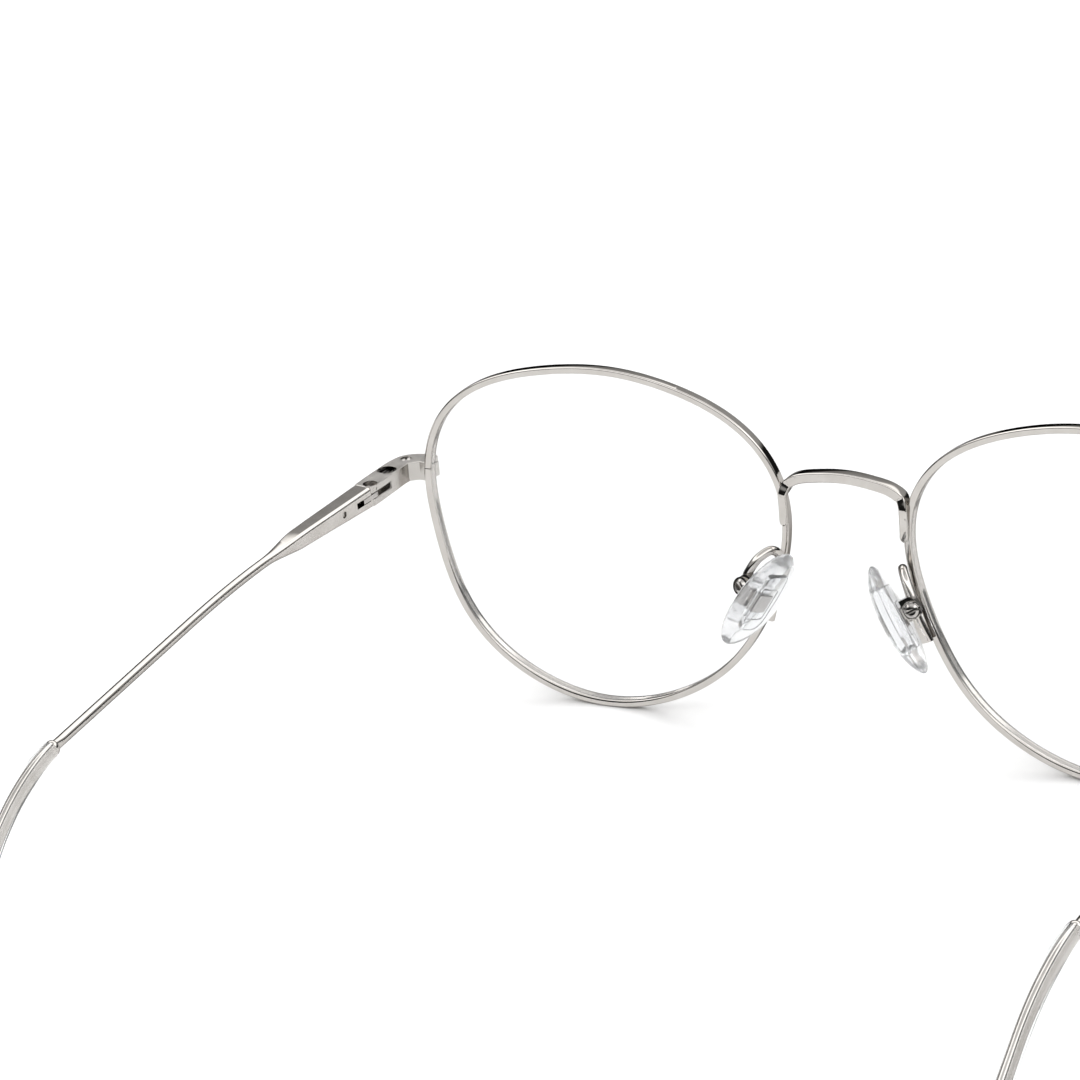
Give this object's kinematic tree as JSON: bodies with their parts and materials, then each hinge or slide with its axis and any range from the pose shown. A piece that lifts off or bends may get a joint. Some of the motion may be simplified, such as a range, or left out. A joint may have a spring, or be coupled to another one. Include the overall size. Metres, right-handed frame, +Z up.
{
  "type": "eyeglasses",
  "caption": "Round full-rim wire eyeglasses with spring-hinge temples, adjustable clear nose pads and clear sleeved temple tips.",
  "frame": {"origin": "middle of the footprint, on the surface that the glasses stand on with the rims and the temple tips", "axes": "+X to the wearer's left, +Y from the front back along the temples, +Z up"},
  "size_m": [0.1366, 0.139, 0.0487],
  "materials": {
    "polished_metal": "mirror-polished silver plating",
    "screw_steel": "fine turned steel",
    "clear_lens": "clear polished lens",
    "clear_silicone": "clear soft silicone"
  },
  "bodies": {
    "front": {"bridge": "polished_metal", "rim_left": "polished_metal", "lens_left": "clear_lens", "pad_arm_left": "polished_metal", "pad_box_left": "polished_metal", "pad_screw_left": "screw_steel", "endpiece_left": "polished_metal", "closing_block_left": "polished_metal", "rim_lock_screw_left": "screw_steel", "cover_screw_left": "screw_steel", "hinge_screw_left": "screw_steel", "rim_right": "polished_metal", "lens_right": "clear_lens", "pad_arm_right": "polished_metal", "pad_box_right": "polished_metal", "pad_screw_right": "screw_steel", "endpiece_right": "polished_metal", "closing_block_right": "polished_metal", "rim_lock_screw_right": "screw_steel", "cover_screw_right": "screw_steel", "hinge_screw_right": "screw_steel"},
    "spring_stop_left": {"hinge_washer_left": "screw_steel"},
    "tongue_left": {"hinge_tongue_left": "screw_steel"},
    "temple_left": {"temple_arm_left": "polished_metal", "tip_collar_left": "polished_metal", "temple_tip_left": "clear_silicone", "hinge_bush_left": "screw_steel", "hinge_spring_left": "screw_steel", "catch_pin_left": "screw_steel"},
    "pad_left": {"nose_pad_left": "clear_silicone", "pad_insert_left": "screw_steel"},
    "spring_stop_right": {"hinge_washer_right": "screw_steel"},
    "tongue_right": {"hinge_tongue_right": "screw_steel"},
    "temple_right": {"temple_arm_right": "polished_metal", "tip_collar_right": "polished_metal", "temple_tip_right": "clear_silicone", "hinge_bush_right": "screw_steel", "hinge_spring_right": "screw_steel", "catch_pin_right": "screw_steel"},
    "pad_right": {"nose_pad_right": "clear_silicone", "pad_insert_right": "screw_steel"}
  },
  "joints": [
    {"name": "temple_flex_left", "type": "hinge", "parent": "front", "child": "spring_stop_left", "pos_m": [0.06475, -0.05573, 0.03142], "axis": [0, -0.0129, -0.9999], "range_deg": [0, 10], "stiffness_Nm_per_rad": 0.3, "springref_deg": -5.73},
    {"name": "temple_fold_left", "type": "hinge", "parent": "spring_stop_left", "child": "tongue_left", "pos_m": [0.06475, -0.05573, 0.03142], "axis": [0, 0.0129, 0.9999], "range_deg": [0, 92]},
    {"name": "spring_travel_left", "type": "slide", "parent": "tongue_left", "child": "temple_left", "axis": [0.1167, 0.9931, -0.0128], "range_m": [0, 0.00033]},
    {"name": "pad_rock_left", "type": "hinge", "parent": "front", "child": "pad_left", "pos_m": [0.01166, -0.06063, 0.02319], "axis": [0.2533, 0.9183, 0.3042], "range_deg": [-5, 5]},
    {"name": "temple_flex_right", "type": "hinge", "parent": "front", "child": "spring_stop_right", "pos_m": [-0.06475, -0.05573, 0.03142], "axis": [0, 0.0129, 0.9999], "range_deg": [0, 10], "stiffness_Nm_per_rad": 0.3, "springref_deg": -5.73},
    {"name": "temple_fold_right", "type": "hinge", "parent": "spring_stop_right", "child": "tongue_right", "pos_m": [-0.06475, -0.05573, 0.03142], "axis": [0, -0.0129, -0.9999], "range_deg": [0, 80]},
    {"name": "spring_travel_right", "type": "slide", "parent": "tongue_right", "child": "temple_right", "axis": [-0.1167, 0.9931, -0.0128], "range_m": [0, 0.00033]},
    {"name": "pad_rock_right", "type": "hinge", "parent": "front", "child": "pad_right", "pos_m": [-0.01166, -0.06063, 0.02319], "axis": [-0.2533, 0.9183, 0.3042], "range_deg": [-5, 5]}
  ],
  "couplings": [
    {"joint": "spring_travel_left", "follows": "temple_flex_left", "m_per_rad": 0.0018335},
    {"joint": "spring_travel_right", "follows": "temple_flex_right", "m_per_rad": 0.0018335}
  ]
}
